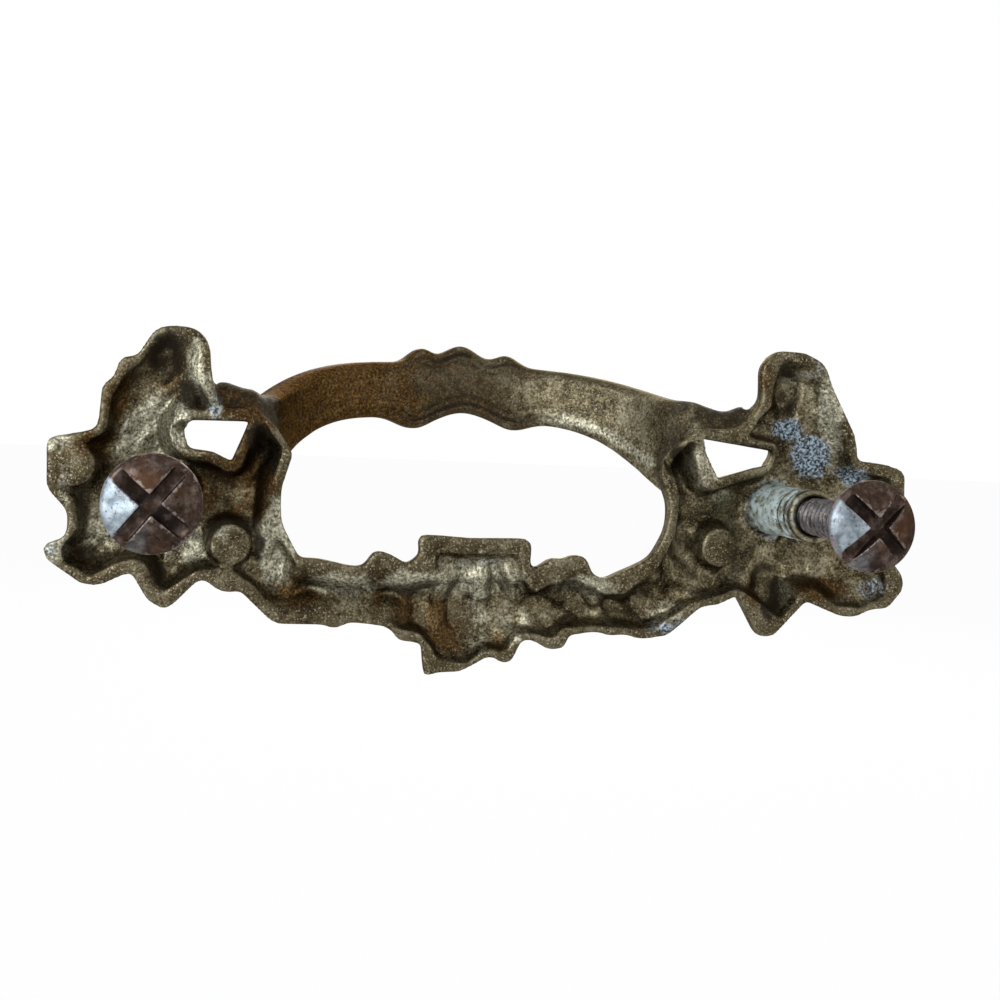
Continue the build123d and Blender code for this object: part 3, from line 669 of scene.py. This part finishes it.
def paint_stains(mesh, x, y, z):
    """Store how stained, pale or shaded a place is: patches on the plate's back, and bands on the handle.

    The handle is golden brown to the left, dark brown about its middle and faintly silver to the right,
    as the back is seen; the silver is painted sheen where it faces the lamp, a pale band along its lower
    edge painted highlight, and dark lines along its creases, top edge and rounded edges painted shade.
    On the plate's front the patches fade to a fifth.
    """
    u, v = seen_at(x, y, z)
    arm = rise(-y, 4.0, 2.5) * rise(27.0 - np.abs(x - ARCH_CENTRE), 0, 1.5)
    back = np.maximum(rise(y + front_depth(x, z), 0.3, 0.6), FRONT_SHARE) * (1 - arm)
    along = x + 2.2 * noise_2d(x, y + z, 2.6, 53)
    golden = 0.26 * rise(along, -7.0, 4.0) + rise(along, 5.0, 9.0)
    # Painted sheen: a faint silver on the handle's right part, which faces the lamp
    silver = 0.06 * rise(-x, 6.0, 8.0)
    top, bottom = arch_edges(x)
    edge = np.minimum(top - z, z - bottom)
    # Painted shade: dark lines along the handle's creases, deepest towards its crest
    fold = bell(edge, OUTER_CREASE, 0.3) + 0.6 * bell(edge, INNER_CREASE, 0.28)
    fold = fold * bell(x, 0, CREST_REACH, 4) * (0.7 + 0.5 * noise_2d(x, z, 1.3, 52))
    # Painted shade along the handle's top edge and along its rounded edges
    top_edge = 0.85 * bell(top - z, 0, 1.5) * rise(-x, 4, 4)
    # Painted highlight along the lower edge of the handle's right part
    lower_edge = 0.8 * bell(z - bottom, 0.9, 0.9) * rise(-x, 8, 4)
    rounded = 0.5 * bell(edge, 0, 0.5)
    outward = loop_distance(flat_loops()[0][-1], x, z)
    side = rise(outward, -0.6, 0.4) * rise(-y, 0.7, 0.5) * (1 - arm)
    browned = np.clip(patches(u, v, BROWN_STAINS), 0, 1) * back
    # Painted shade from the dark patches on the back and from the handle's creases
    painted_shade = np.clip(patches(u, v, PAINTED_SHADE_PATCHES), 0, 1) * back + np.clip(fold, 0, 1) * arm
    paint(mesh, "brown", browned + golden * arm)
    paint(mesh, "umber", browned)
    # Pale patches and the band along the handle's lower edge, partly painted highlight
    paint(mesh, "pale", np.clip(patches(u, v, PALE_AND_HIGHLIGHT_PATCHES), 0, 1.3) * back + lower_edge * arm)
    paint(mesh, "handle_sheen", silver * arm)
    paint(mesh, "blue", np.clip(patches(u, v, BLUE_STAINS), 0, 1) * back)
    # Darker handle: its middle, and painted shade along its top edge and rounded edges
    paint(mesh, "dark", np.clip(bell(x, 1.0, 9.5, 4) + top_edge + rounded, 0, 1) * arm)
    # Painted shade, with the plate's outer sides darkened as well
    paint(mesh, "shade_and_dark_sides", np.maximum(painted_shade, SIDE_DARKENING * side))
    paint(mesh, "rim", rise(y, -0.8, 0.5) * rise(0.6 - y, 0, 0.3))


def make_casting():
    """The casting as one piece, with its stains, painted highlights and painted shade stored on it."""
    low = np.array(CASTING_LOW)
    x, y, z = grid(low, CASTING_HIGH, CASTING_STEP)
    field = casting_field(x, y, z).astype(np.float32)
    piece, points = solid_piece("cast_pull", field, low, CASTING_STEP, "pull_casting")
    paint_powder(piece.data, *points)
    paint_stains(piece.data, *points)
    return piece


def paint_screw(mesh, node, centre, x, y, z):
    """Painted reflection of the lamp on the head's sector towards +X, fainter painted sheen on the next
    sector and on the shank, and painted shade in the slots, less in the arm turned to the lamp.
    """
    turn = math.radians(SLOT_ANGLES[node])
    c, s = math.cos(turn), math.sin(turn)
    first = x * c - z * s - SLOT_WIDTH / 2
    second = x * s + z * c - SLOT_WIDTH / 2
    third = -x * s - z * c - SLOT_WIDTH / 2
    on_head = rise(y, HEAD_SEAT, 0.2)
    cloud = noise_2d(x + centre, z, 0.9, 41)
    # Painted reflection of the lamp on the head's sector towards +X, fainter painted sheen on the next
    painted_sheen = np.clip(0.5 + np.minimum(first, second) / 0.25, 0, 1)
    lower = rise(np.minimum(first, third), 0, 0.5) * rise(x, 0, 2.5)
    share = painted_sheen * (SHEEN_LEVELS[node] + 0.14 * cloud) + lower * (0.35 + 0.25 * cloud)
    paint(mesh, "painted_sheen", np.clip(share * on_head + SHANK_SHEEN * (1 - on_head), 0, 1))
    crown = crown_radius()
    dome = np.sqrt(np.maximum(crown ** 2 - x ** 2 - z ** 2, 0)) + HEAD_TOP - crown
    # Painted shade in the slots, lighter in the slot arm that faces the lamp
    lit_slot = np.abs(x * s + z * c) < SLOT_WIDTH / 2 + 0.1
    slot_shade = rise(dome - y, 0.1, 0.5) * on_head
    paint(mesh, "slot_shade", slot_shade * np.where(lit_slot, LIT_SLOT_SHADE, 1.0))


def make_screw(node, centre):
    """A screw as one piece, made on its own axis and then moved to its post."""
    low = np.array([-SCREW_HALF_BOX, SHANK_END - SCREW_END_ROOM, -SCREW_HALF_BOX])
    high = np.array([SCREW_HALF_BOX, HEAD_TOP + SCREW_END_ROOM, SCREW_HALF_BOX])
    x, y, z = grid(low, high, SCREW_STEP)
    field = screw_field(x, y, z, SLOT_ANGLES[node]).astype(np.float32)
    piece, points = solid_piece(node + "_turned", field, low, SCREW_STEP, node)
    paint_screw(piece.data, node, centre, *points)
    piece.data.transform(Matrix.Translation((centre * MM, 0, 0)))
    return piece


# Node helpers
def add_node(tree, kind, inputs=None, **settings):
    """Add a node, set its properties, and link or set its inputs."""
    node = tree.nodes.new(kind)
    for name, value in settings.items():
        setattr(node, name, value)
    for key, value in (inputs or {}).items():
        if isinstance(value, bpy.types.NodeSocket):
            tree.links.new(value, node.inputs[key])
        else:
            node.inputs[key].default_value = value
    return node


def calculate(tree, operation, first, second=0.0, clamp=False):
    """One operation on two values."""
    node = add_node(tree, "ShaderNodeMath", {0: first, 1: second}, operation=operation, use_clamp=clamp)
    return node.outputs[0]


def product(tree, first, second):
    """Two values multiplied."""
    return calculate(tree, "MULTIPLY", first, second)


def spread(tree, value, low, high, start=0.0, end=1.0):
    """Ease a value from start to end as it goes from low to high."""
    inputs = {"Value": value, "From Min": low, "From Max": high, "To Min": start, "To Max": end}
    return add_node(tree, "ShaderNodeMapRange", inputs, interpolation_type="SMOOTHSTEP").outputs[0]


def grain(tree, place, scale, detail=2.0, roughness=0.55):
    """Noise at a place, the finer the larger its scale."""
    inputs = {"Vector": place, "Scale": scale, "Detail": detail, "Roughness": roughness}
    return add_node(tree, "ShaderNodeTexNoise", inputs).outputs[0]


def blend(tree, share, first, second):
    """Mix two colours by a share."""
    colours = [c if isinstance(c, bpy.types.NodeSocket) else (*c, 1) for c in (first, second)]
    inputs = {0: share, 6: colours[0], 7: colours[1]}
    return add_node(tree, "ShaderNodeMix", inputs, data_type="RGBA", clamp_factor=True).outputs[2]


def ramp(tree, value, stops):
    """Colours along a value: each stop is a place and a colour."""
    node = add_node(tree, "ShaderNodeValToRGB", {0: value})
    while len(node.color_ramp.elements) < len(stops):
        node.color_ramp.elements.new(0.5)
    for element, (place, colour) in zip(node.color_ramp.elements, stops):
        element.position = place
    for element, (place, colour) in zip(node.color_ramp.elements, stops):
        element.color = (*colour, 1)
    return node.outputs[0]


def stored(tree, label):
    """A value that was stored on the mesh's points."""
    return add_node(tree, "ShaderNodeAttribute", attribute_name=label).outputs["Fac"]


def new_group(name, inputs, outputs):
    """Node group with named value or vector inputs and value outputs: its tree, input and output node."""
    tree = bpy.data.node_groups.new(name, "ShaderNodeTree")
    for label, kind in inputs:
        tree.interface.new_socket(label, in_out="INPUT", socket_type=kind)
    for label in outputs:
        tree.interface.new_socket(label, in_out="OUTPUT", socket_type="NodeSocketFloat")
    return tree, tree.nodes.new("NodeGroupInput"), tree.nodes.new("NodeGroupOutput")


def cast_grain_group():
    """Grain of an old casting: fine, middle and broad noise, sparse specks and a height."""
    labels = ["Fine", "Middle", "Broad", "Bright", "Dark", "Height"]
    tree, source, result = new_group("cast_grain", [("Place", "NodeSocketVector")], labels)
    place = source.outputs["Place"]
    fine = grain(tree, place, 3300.0, 2.0)
    middle = grain(tree, place, 850.0, 3.0, 0.6)
    broad = grain(tree, place, 230.0, 2.0)
    speck = grain(tree, place, 4300.0, 1.0)
    pit = grain(tree, place, 2500.0, 1.0)
    height = calculate(tree, "ADD", product(tree, fine, 0.5), product(tree, middle, 0.8))
    bright, dark = spread(tree, speck, 0.58, 0.70), spread(tree, pit, 0.60, 0.72)
    for label, socket in zip(labels, (fine, middle, broad, bright, dark, height)):
        tree.links.new(socket, result.inputs[label])
    return tree


def age_group():
    """Wear on raised edges, and dirt with painted shade in recesses, from how filled the surroundings are.
    """
    inputs = [(label, "NodeSocketFloat") for label in ("Near", "Far", "Fine", "Middle")]
    tree, source, result = new_group("age", inputs, ["Worn", "DirtAndShade"])
    rough = product(tree, calculate(tree, "SUBTRACT", source.outputs["Middle"], 0.5), 0.7)
    sand = product(tree, calculate(tree, "SUBTRACT", source.outputs["Fine"], 0.5), 0.35)
    near = calculate(tree, "ADD", calculate(tree, "ADD", source.outputs["Near"], rough), sand)
    far = calculate(tree, "ADD", source.outputs["Far"], rough)
    tree.links.new(spread(tree, near, 0.36, 0.20), result.inputs["Worn"])
    # Dirt with painted shade: the more filled the surroundings far round, the darker
    tree.links.new(spread(tree, far, 0.54, 0.80), result.inputs["DirtAndShade"])
    return tree


# Materials
def new_material(name):
    """A material with its tree and its shader."""
    material = bpy.data.materials.new(name)
    material.use_nodes = True
    tree = material.node_tree
    return material, tree, tree.nodes["Principled BSDF"]


def aged(tree, grain_tree, age_tree):
    """The grain and age groups on a piece's own coordinates and stored fill."""
    place = add_node(tree, "ShaderNodeTexCoord").outputs["Object"]
    grains = add_node(tree, "ShaderNodeGroup", node_tree=grain_tree)
    tree.links.new(place, grains.inputs["Place"])
    age = add_node(tree, "ShaderNodeGroup", node_tree=age_tree)
    links = (("Near", stored(tree, "near_fill")), ("Far", stored(tree, "far_fill")))
    for label, socket in links + (("Fine", grains.outputs["Fine"]), ("Middle", grains.outputs["Middle"])):
        tree.links.new(socket, age.inputs[label])
    return grains.outputs, age.outputs


def finish_metal(tree, shader, colour, dull, metallic, rough, roughness, tint, bump, height):
    """Link what varies over a metal: its colour, and how metallic, rough and bumpy it is."""
    tree.links.new(colour, shader.inputs["Base Color"])
    tree.links.new(spread(tree, dull, 0.0, 1.0, *metallic), shader.inputs["Metallic"])
    tree.links.new(spread(tree, rough, 0.0, 1.0, *roughness), shader.inputs["Roughness"])
    shader.inputs["Specular Tint"].default_value = (*tint, 1)
    shader.inputs["Specular IOR Level"].default_value = 0.3
    relief = add_node(tree, "ShaderNodeBump", {"Strength": bump[0], "Distance": bump[1], "Height": height})
    tree.links.new(relief.outputs[0], shader.inputs["Normal"])


def brass_skin(tree, grains):
    """Olive brass, darkened on the handle, partly as painted shade, and on the rim, under stains,
    painted highlights and painted sheen whose edges follow the grain.
    """
    clouds = calculate(tree, "ADD", grains["Middle"], grains["Broad"])
    tone = product(tree, calculate(tree, "ADD", clouds, grains["Fine"]), 1 / 3)
    skin = ramp(tree, tone, BRASS_SKIN)
    silver = ramp(tree, grains["Fine"], SILVER)
    golden, frosted = ramp(tree, grains["Fine"], GOLDEN), ramp(tree, grains["Fine"], FROSTED)
    chalk = ramp(tree, grains["Middle"], CHALK)
    shift = product(tree, calculate(tree, "SUBTRACT", grains["Middle"], 0.5), 1.6)
    # Darker on the handle, partly painted shade along its edges
    colour = blend(tree, product(tree, stored(tree, "dark"), 0.7), skin, DARK_ARM)
    colour = blend(tree, product(tree, stored(tree, "rim"), 0.34), colour, DARK_RIM)
    # Painted sheen on the handle's right part
    colour = blend(tree, stored(tree, "handle_sheen"), colour, silver)
    for label, stain in (("brown", golden), ("pale", silver), ("blue", frosted), ("powder", chalk)):
        mask = spread(tree, calculate(tree, "ADD", stored(tree, label), shift), 0.15, 0.85, 0.0, 0.9)
        share = product(tree, mask, spread(tree, stored(tree, label), 0.02, 0.2))
        colour = blend(tree, share, colour, stain)
    return blend(tree, product(tree, stored(tree, "umber"), 0.42), colour, UMBER), shift


def brass_material(grain_tree, age_tree):
    """Old cast brass: stained skin, dirt and painted shade in recesses, worn edges, bright specks and
    pits.
    """
    material, tree, shader = new_material("aged_cast_brass")
    grains, age = aged(tree, grain_tree, age_tree)
    colour, shift = brass_skin(tree, grains)
    # Dirt with painted shade in recesses, patchy by the broad grain
    dirt_and_shade = product(tree, age["DirtAndShade"], spread(tree, grains["Broad"], 0.30, 0.60, 0.35, 0.85))
    # Painted shade from the stored patches and creases, its edges following the grain
    painted_shade = spread(tree, calculate(tree, "ADD", stored(tree, "shade_and_dark_sides"), shift), 0.1, 0.9, 0.0, 0.92)
    painted_shade = product(tree, painted_shade, spread(tree, stored(tree, "shade_and_dark_sides"), 0.02, 0.25))
    dirt_and_shade = calculate(tree, "MAXIMUM", dirt_and_shade, painted_shade)
    colour = blend(tree, dirt_and_shade, colour, BRASS_DIRT_AND_SHADE)
    colour = blend(tree, product(tree, age["Worn"], 0.4), colour, WORN_BRASS)
    browned = calculate(tree, "MAXIMUM", stored(tree, "brown"), stored(tree, "dark"))
    skipped = calculate(tree, "MAXIMUM", dirt_and_shade, product(tree, browned, 0.7))
    clean = calculate(tree, "SUBTRACT", 1.0, skipped, clamp=True)
    specks = product(tree, grains["Bright"], spread(tree, stored(tree, "rim"), 0.0, 1.0, 0.35, 0.48))
    colour = blend(tree, product(tree, specks, clean), colour, BRASS_SPECK)
    colour = blend(tree, product(tree, grains["Dark"], 0.7), colour, BRASS_PIT)
    patina = calculate(tree, "MAXIMUM", product(tree, stored(tree, "blue"), 0.8), stored(tree, "powder"))
    dull = calculate(tree, "ADD", dirt_and_shade, patina, clamp=True)
    finish_metal(
        tree, shader, colour, dull=dull, metallic=(0.88, 0.15), rough=dull, roughness=(0.42, 0.75),
        tint=(0.45, 0.42, 0.36), bump=(0.7, 0.00012), height=grains["Height"],
    )
    return material


def steel_material(grain_tree, age_tree):
    """Screws gone purple brown, with orange rust, painted shade in the slots, and a painted reflection
    of the lamp on one side of the head.
    """
    material, tree, shader = new_material("tarnished_screw_steel")
    grains, age = aged(tree, grain_tree, age_tree)
    rust = product(tree, spread(tree, grains["Broad"], 0.52, 0.68), 0.5)
    colour = blend(tree, rust, ramp(tree, grains["Middle"], SCREW_SKIN), RUST)
    # Painted reflection and sheen, over the rust
    colour = blend(tree, stored(tree, "painted_sheen"), colour, ramp(tree, grains["Middle"], SHEEN_STEEL))
    # Painted shade in the slots, patchy by the grain
    slots = product(tree, stored(tree, "slot_shade"), spread(tree, grains["Middle"], 0.40, 0.62, 0.95, 0.55))
    # Dirt with painted shade in recesses, and painted shade in the slots
    dirt_and_shade = calculate(tree, "MAXIMUM", product(tree, age["DirtAndShade"], 0.9), slots)
    colour = blend(tree, dirt_and_shade, colour, SCREW_DIRT_AND_SHADE)
    colour = blend(tree, product(tree, age["Worn"], 0.55), colour, WORN_STEEL)
    colour = blend(tree, product(tree, grains["Dark"], 0.6), colour, STEEL_PIT)
    rough = calculate(tree, "ADD", rust, dirt_and_shade, clamp=True)
    finish_metal(
        tree, shader, colour, dull=dirt_and_shade, metallic=(0.88, 0.3), rough=rough, roughness=(0.36, 0.75),
        tint=(0.5, 0.46, 0.44), bump=(0.35, 0.0001), height=grains["Height"],
    )
    return material


# Studio
def make_camera():
    """Camera at the photograph's fitted place, its shift set by where the principal pixel lies."""
    forward = Vector((
        -math.sin(CAMERA_PAN) * math.cos(CAMERA_TILT),
        -math.cos(CAMERA_PAN) * math.cos(CAMERA_TILT),
        -math.sin(CAMERA_TILT),
    ))
    right = forward.cross(Vector((0, 0, 1))).normalized()
    up = right.cross(forward)
    rolled_right = math.cos(CAMERA_ROLL) * right + math.sin(CAMERA_ROLL) * up
    rolled_up = -math.sin(CAMERA_ROLL) * right + math.cos(CAMERA_ROLL) * up
    data = bpy.data.cameras.new("photo_camera")
    data.sensor_width = 36.0
    data.lens = data.sensor_width * FOCAL_PIXELS / IMAGE_PIXELS
    data.shift_x = 0.5 - PRINCIPAL_PIXEL / IMAGE_PIXELS
    data.shift_y = PRINCIPAL_PIXEL / IMAGE_PIXELS - 0.5
    data.clip_start, data.clip_end = 0.005, 5.0
    camera = bpy.data.objects.new("photo_camera", data)
    turn = Matrix((rolled_right, rolled_up, -forward)).transposed().to_4x4()
    camera.matrix_world = Matrix.Translation(Vector(CAMERA_PLACE) * MM) @ turn
    bpy.context.scene.collection.objects.link(camera)
    bpy.context.scene.camera = camera


def area_lamp(name, place, size, radiance, colour):
    """Soft square lamp at a place in millimetres, turned to the origin, of a given radiance."""
    data = bpy.data.lights.new(name, "AREA")
    data.size = size * MM
    data.energy = radiance * math.pi * data.size ** 2
    data.color = colour
    lamp = bpy.data.objects.new(name, data)
    turn = (-Vector(place)).to_track_quat("-Z", "Y").to_matrix().to_4x4()
    lamp.matrix_world = Matrix.Translation(Vector(place) * MM) @ turn
    bpy.context.scene.collection.objects.link(lamp)


def background_rays(tree):
    """1 for the rays that show the background: from the camera, and by reflection and glass."""
    path = add_node(tree, "ShaderNodeLightPath")
    seen = calculate(tree, "MAXIMUM", path.outputs["Is Camera Ray"], path.outputs["Is Glossy Ray"])
    return calculate(tree, "MAXIMUM", seen, path.outputs["Is Transmission Ray"])


def make_floor():
    """Pale floor well below the pull, which is held up by its screws when in use."""
    half, height = FLOOR_HALF_SIZE * MM, FLOOR_HEIGHT * MM
    mesh = bpy.data.meshes.new("pale_floor")
    corners = [(-half, -half, height), (half, -half, height), (half, half, height), (-half, half, height)]
    mesh.from_pydata(corners, [], [(0, 1, 2, 3)])
    floor = bpy.data.objects.new("pale_floor", mesh)
    bpy.context.scene.collection.objects.link(floor)
    material, tree, shader = new_material("pale_floor")
    shader.inputs["Base Color"].default_value = (0.9, 0.9, 0.9, 1)
    shader.inputs["Roughness"].default_value = 0.9
    share = product(tree, background_rays(tree), FLOOR_GLOW)
    glow = add_node(tree, "ShaderNodeEmission")
    mix = add_node(tree, "ShaderNodeMixShader", {0: share, 1: shader.outputs[0], 2: glow.outputs[0]})
    tree.links.new(mix.outputs[0], tree.nodes["Material Output"].inputs["Surface"])
    mesh.materials.append(material)


def make_world():
    """White where the camera and reflections look past the object, softer where it is lit."""
    world = bpy.data.worlds.new("studio")
    bpy.context.scene.world = world
    world.use_nodes = True
    tree = world.node_tree
    strength = spread(tree, background_rays(tree), 0.0, 1.0, WORLD_LEVEL, 1.0)
    tree.links.new(strength, tree.nodes["Background"].inputs["Strength"])
    tree.nodes["Background"].inputs["Color"].default_value = (1, 1, 1, 1)


casting = make_casting()
left_screw = make_screw("left_screw", SCREW_X)
right_screw = make_screw("right_screw", -SCREW_X)

grain_tree, age_tree = cast_grain_group(), age_group()
casting.data.materials.append(brass_material(grain_tree, age_tree))
steel = steel_material(grain_tree, age_tree)
for screw in (left_screw, right_screw):
    screw.data.materials.append(steel)

make_camera()
make_world()
make_floor()
for lamp in LAMPS:
    area_lamp(*lamp)

bpy.context.scene.view_settings.view_transform = "Standard"
